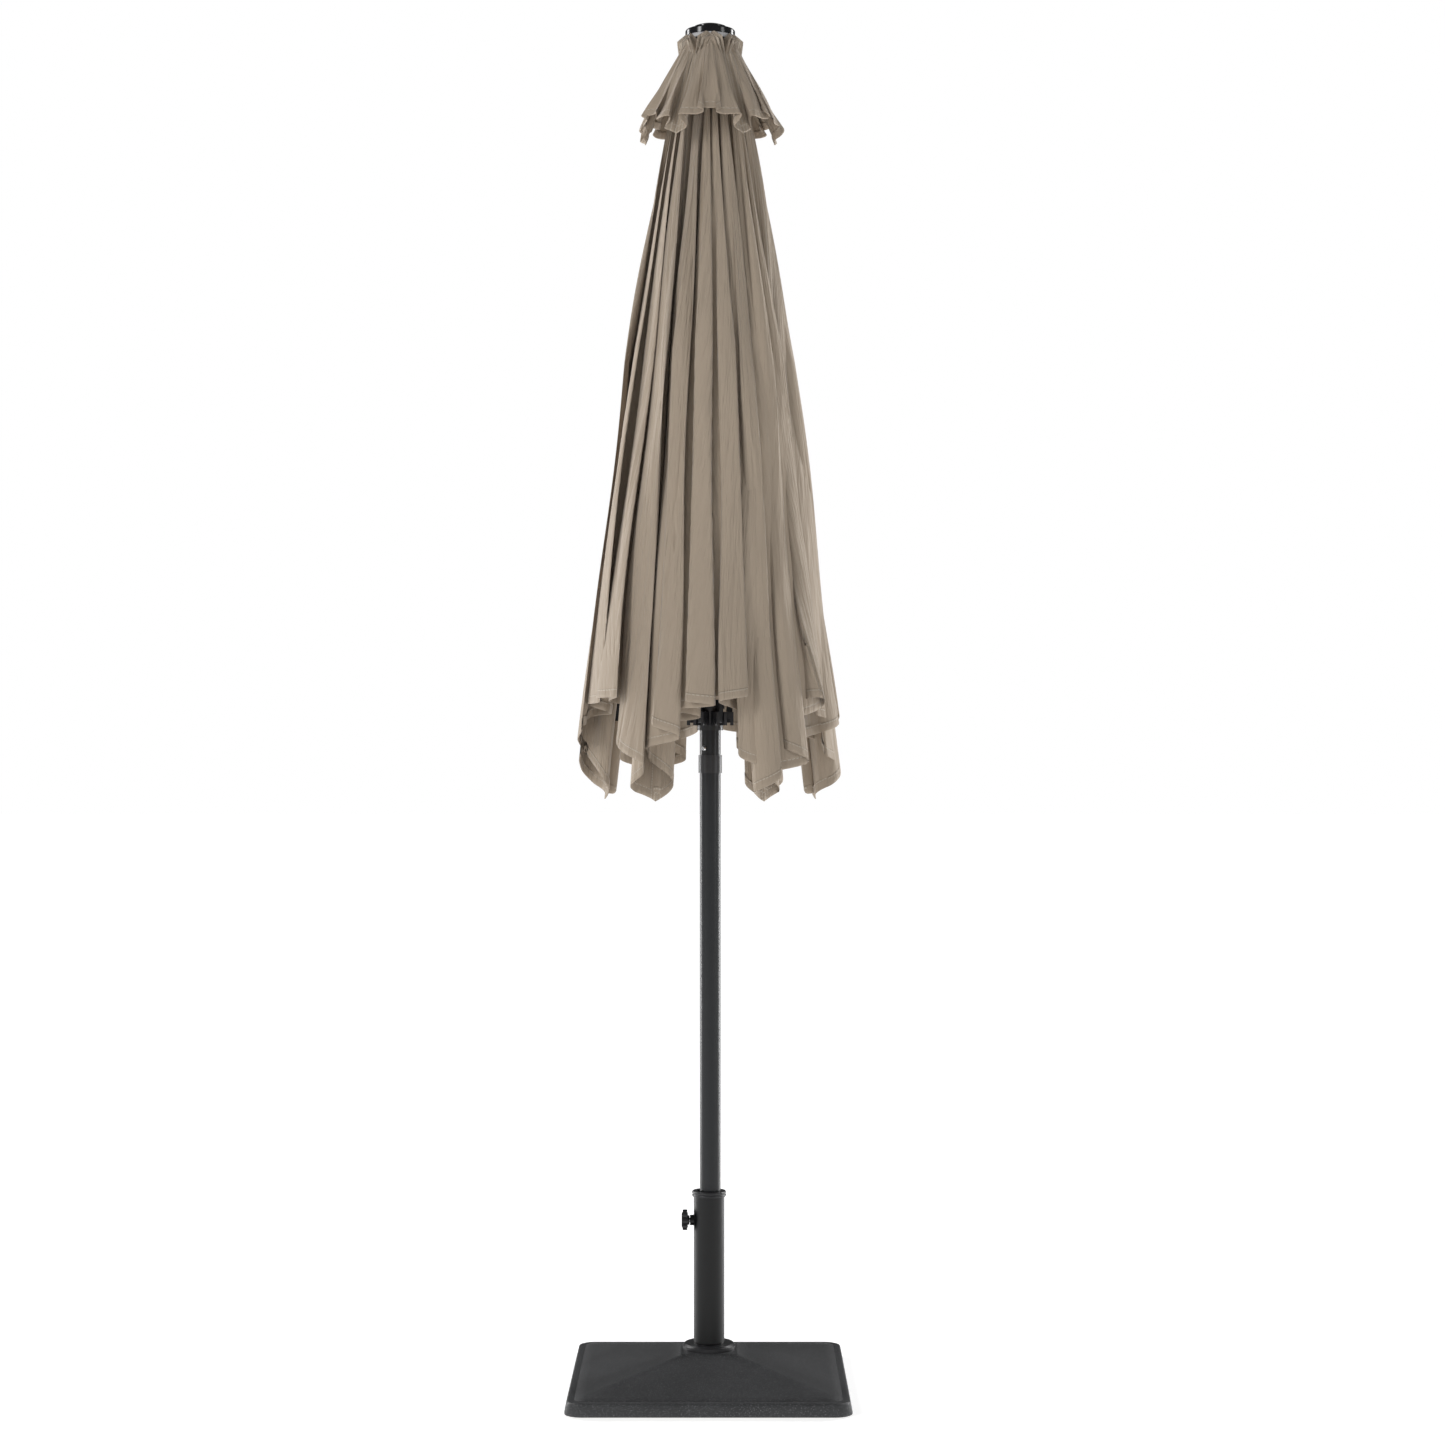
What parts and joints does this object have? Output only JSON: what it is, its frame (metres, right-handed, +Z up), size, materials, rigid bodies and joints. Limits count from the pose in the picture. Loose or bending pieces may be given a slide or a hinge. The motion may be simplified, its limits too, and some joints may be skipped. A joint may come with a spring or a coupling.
{
  "type": "patio umbrella with base",
  "caption": "Push-up market umbrella, closed, with a vented cloth canopy, a two-piece pole and a square weighted stand with a clamp knob.",
  "frame": {"origin": "centre of the base on the floor, between the four rubber feet", "axes": "+Z up the pole, -Y towards the front, -X towards the clamp knob"},
  "size_m": [0.45, 0.45, 2.2177],
  "materials": {
    "black_plastic_skin": "speckled moulded skin with a fine grain",
    "concrete": "cast concrete",
    "black_rubber": "matte",
    "zinc_steel": "bright zinc plate",
    "black_powder_steel": "satin powder coat",
    "black_plastic": "moulded, satin",
    "grey_painted_steel": "satin anthracite paint",
    "bare_steel": "bare tube",
    "spring_steel": "bare strip",
    "chrome_steel": "polished",
    "gloss_black_plastic": "glossy moulding",
    "light_cloth": "woven polyester tape",
    "grey_painted_steel_frame": "satin paint",
    "taupe_cloth": "woven polyester with stitched seams"
  },
  "bodies": {
    "stand": {"base_shell": "black_plastic_skin", "base_ballast": "concrete", "base_feet": "black_rubber", "base_bolt": "zinc_steel", "foot_plate": "black_powder_steel", "base_nut": "zinc_steel", "stand_tube": "black_powder_steel", "flange_ring": "black_plastic", "weld_nut": "black_powder_steel", "tube_collar": "black_plastic"},
    "clamp_screw": {"clamp_screw": "zinc_steel"},
    "clamp_knob": {"clamp_knob": "black_plastic"},
    "mast": {"pole_plug": "black_plastic", "pole_lower": "grey_painted_steel", "pole_spigot": "bare_steel", "pole_sleeve": "black_plastic", "button_spring": "spring_steel", "pole_upper": "grey_painted_steel", "top_hub": "black_plastic", "hub_pins": "zinc_steel", "fabric_ring": "light_cloth", "finial_base": "gloss_black_plastic", "finial_cap": "gloss_black_plastic"},
    "snap_button": {"snap_button": "chrome_steel"},
    "runner": {"runner": "black_plastic", "runner_grip": "black_plastic"},
    "rib_1": {"rib_1": "grey_painted_steel_frame"},
    "strut_1": {"strut_1": "grey_painted_steel_frame"},
    "panel_1": {"canopy_panel_1": "taupe_cloth", "vent_flap_1": "taupe_cloth"},
    "rib_2": {"rib_2": "grey_painted_steel_frame"},
    "strut_2": {"strut_2": "grey_painted_steel_frame"},
    "panel_2": {"canopy_panel_2": "taupe_cloth", "vent_flap_2": "taupe_cloth"},
    "rib_3": {"rib_3": "grey_painted_steel_frame"},
    "strut_3": {"strut_3": "grey_painted_steel_frame"},
    "panel_3": {"canopy_panel_3": "taupe_cloth", "vent_flap_3": "taupe_cloth"},
    "rib_4": {"rib_4": "grey_painted_steel_frame"},
    "strut_4": {"strut_4": "grey_painted_steel_frame"},
    "panel_4": {"canopy_panel_4": "taupe_cloth", "vent_flap_4": "taupe_cloth"},
    "rib_5": {"rib_5": "grey_painted_steel_frame"},
    "strut_5": {"strut_5": "grey_painted_steel_frame"},
    "panel_5": {"canopy_panel_5": "taupe_cloth", "vent_flap_5": "taupe_cloth"},
    "rib_6": {"rib_6": "grey_painted_steel_frame"},
    "strut_6": {"strut_6": "grey_painted_steel_frame"},
    "panel_6": {"canopy_panel_6": "taupe_cloth", "vent_flap_6": "taupe_cloth"}
  },
  "joints": [
    {"name": "mast_lift", "type": "slide", "parent": "stand", "child": "mast", "axis": [0, 0, 1], "range_m": [0, 0.26]},
    {"name": "clamp_screw_feed", "type": "slide", "parent": "stand", "child": "clamp_screw", "axis": [-1, 0, 0], "range_m": [0, 0.005]},
    {"name": "clamp_knob_turn", "type": "hinge", "parent": "clamp_screw", "child": "clamp_knob", "pos_m": [-0.035, 0, 0.269], "axis": [-1, 0, 0], "range_deg": [0, 1440.01]},
    {"name": "snap_button_press", "type": "slide", "parent": "mast", "child": "snap_button", "axis": [0.5736, 0.8192, 0], "range_m": [0, 0.0045], "stiffness_N_per_m": 600, "springref_m": -0.001},
    {"name": "canopy_lift", "type": "slide", "parent": "mast", "child": "runner", "axis": [0, 0, 1], "range_m": [0, 0.69043]},
    {"name": "rib_1_swing", "type": "hinge", "parent": "mast", "child": "rib_1", "pos_m": [-0.01315, -0.02598, 2.18], "axis": [-0.866, 0.5, 0], "range_deg": [0, 63.8]},
    {"name": "strut_1_swing", "type": "hinge", "parent": "rib_1", "child": "strut_1", "pos_m": [-0.03488, -0.06363, 1.63172], "axis": [-0.866, 0.5, 0], "range_deg": [-127.6, 0]},
    {"name": "panel_1_spread", "type": "hinge", "parent": "rib_1", "child": "panel_1", "pos_m": [0.00185, -0.91835, 1.70363], "axis": [0, -0.8803, -0.4745], "range_deg": [0, 61.28]},
    {"name": "rib_2_swing", "type": "hinge", "parent": "mast", "child": "rib_2", "pos_m": [0.01685, -0.02598, 2.18], "axis": [-0.866, -0.5, 0], "range_deg": [0, 63.8]},
    {"name": "strut_2_swing", "type": "hinge", "parent": "rib_2", "child": "strut_2", "pos_m": [0.03858, -0.06363, 1.63172], "axis": [-0.866, -0.5, 0], "range_deg": [-127.6, 0]},
    {"name": "panel_2_spread", "type": "hinge", "parent": "rib_2", "child": "panel_2", "pos_m": [0.79609, -0.45855, 1.7043], "axis": [0.7623, -0.4401, -0.4745], "range_deg": [0, 61.28]},
    {"name": "rib_3_swing", "type": "hinge", "parent": "mast", "child": "rib_3", "pos_m": [0.03185, 0, 2.18], "axis": [0, -1, 0], "range_deg": [0, 63.8]},
    {"name": "strut_3_swing", "type": "hinge", "parent": "rib_3", "child": "strut_3", "pos_m": [0.07532, 0, 1.63172], "axis": [0, -1, 0], "range_deg": [-127.6, 0]},
    {"name": "panel_3_spread", "type": "hinge", "parent": "rib_3", "child": "panel_3", "pos_m": [0.79609, 0.45855, 1.7043], "axis": [0.7623, 0.4401, -0.4745], "range_deg": [0, 61.28]},
    {"name": "rib_4_swing", "type": "hinge", "parent": "mast", "child": "rib_4", "pos_m": [0.01685, 0.02598, 2.18], "axis": [0.866, -0.5, 0], "range_deg": [0, 63.8]},
    {"name": "strut_4_swing", "type": "hinge", "parent": "rib_4", "child": "strut_4", "pos_m": [0.03858, 0.06363, 1.63172], "axis": [0.866, -0.5, 0], "range_deg": [-127.6, 0]},
    {"name": "panel_4_spread", "type": "hinge", "parent": "rib_4", "child": "panel_4", "pos_m": [0.00185, 0.91835, 1.70363], "axis": [0, 0.8803, -0.4745], "range_deg": [0, 61.28]},
    {"name": "rib_5_swing", "type": "hinge", "parent": "mast", "child": "rib_5", "pos_m": [-0.01315, 0.02598, 2.18], "axis": [0.866, 0.5, 0], "range_deg": [0, 63.8]},
    {"name": "strut_5_swing", "type": "hinge", "parent": "rib_5", "child": "strut_5", "pos_m": [-0.03488, 0.06363, 1.63172], "axis": [0.866, 0.5, 0], "range_deg": [-127.6, 0]},
    {"name": "panel_5_spread", "type": "hinge", "parent": "rib_5", "child": "panel_5", "pos_m": [-0.79454, 0.4598, 1.70296], "axis": [-0.7623, 0.4401, -0.4745], "range_deg": [0, 61.28]},
    {"name": "rib_6_swing", "type": "hinge", "parent": "mast", "child": "rib_6", "pos_m": [-0.02815, 0, 2.18], "axis": [0, 1, 0], "range_deg": [0, 63.8]},
    {"name": "strut_6_swing", "type": "hinge", "parent": "rib_6", "child": "strut_6", "pos_m": [-0.07162, 0, 1.63172], "axis": [0, 1, 0], "range_deg": [-127.6, 0]},
    {"name": "panel_6_spread", "type": "hinge", "parent": "rib_6", "child": "panel_6", "pos_m": [-0.79454, -0.4598, 1.70296], "axis": [-0.7623, -0.4401, -0.4745], "range_deg": [0, 61.28]}
  ],
  "couplings": [
    {"joint": "clamp_knob_turn", "follows": "clamp_screw_feed", "rad_per_m": 5026.5},
    {"joint": "rib_1_swing", "follows": "canopy_lift", "rad_per_m": 1.6128},
    {"joint": "strut_1_swing", "follows": "canopy_lift", "rad_per_m": -3.2256},
    {"joint": "panel_1_spread", "follows": "canopy_lift", "rad_per_m": 1.5492},
    {"joint": "rib_2_swing", "follows": "canopy_lift", "rad_per_m": 1.6128},
    {"joint": "strut_2_swing", "follows": "canopy_lift", "rad_per_m": -3.2256},
    {"joint": "panel_2_spread", "follows": "canopy_lift", "rad_per_m": 1.5492},
    {"joint": "rib_3_swing", "follows": "canopy_lift", "rad_per_m": 1.6128},
    {"joint": "strut_3_swing", "follows": "canopy_lift", "rad_per_m": -3.2256},
    {"joint": "panel_3_spread", "follows": "canopy_lift", "rad_per_m": 1.5492},
    {"joint": "rib_4_swing", "follows": "canopy_lift", "rad_per_m": 1.6128},
    {"joint": "strut_4_swing", "follows": "canopy_lift", "rad_per_m": -3.2256},
    {"joint": "panel_4_spread", "follows": "canopy_lift", "rad_per_m": 1.5492},
    {"joint": "rib_5_swing", "follows": "canopy_lift", "rad_per_m": 1.6128},
    {"joint": "strut_5_swing", "follows": "canopy_lift", "rad_per_m": -3.2256},
    {"joint": "panel_5_spread", "follows": "canopy_lift", "rad_per_m": 1.5492},
    {"joint": "rib_6_swing", "follows": "canopy_lift", "rad_per_m": 1.6128},
    {"joint": "strut_6_swing", "follows": "canopy_lift", "rad_per_m": -3.2256},
    {"joint": "panel_6_spread", "follows": "canopy_lift", "rad_per_m": 1.5492}
  ]
}
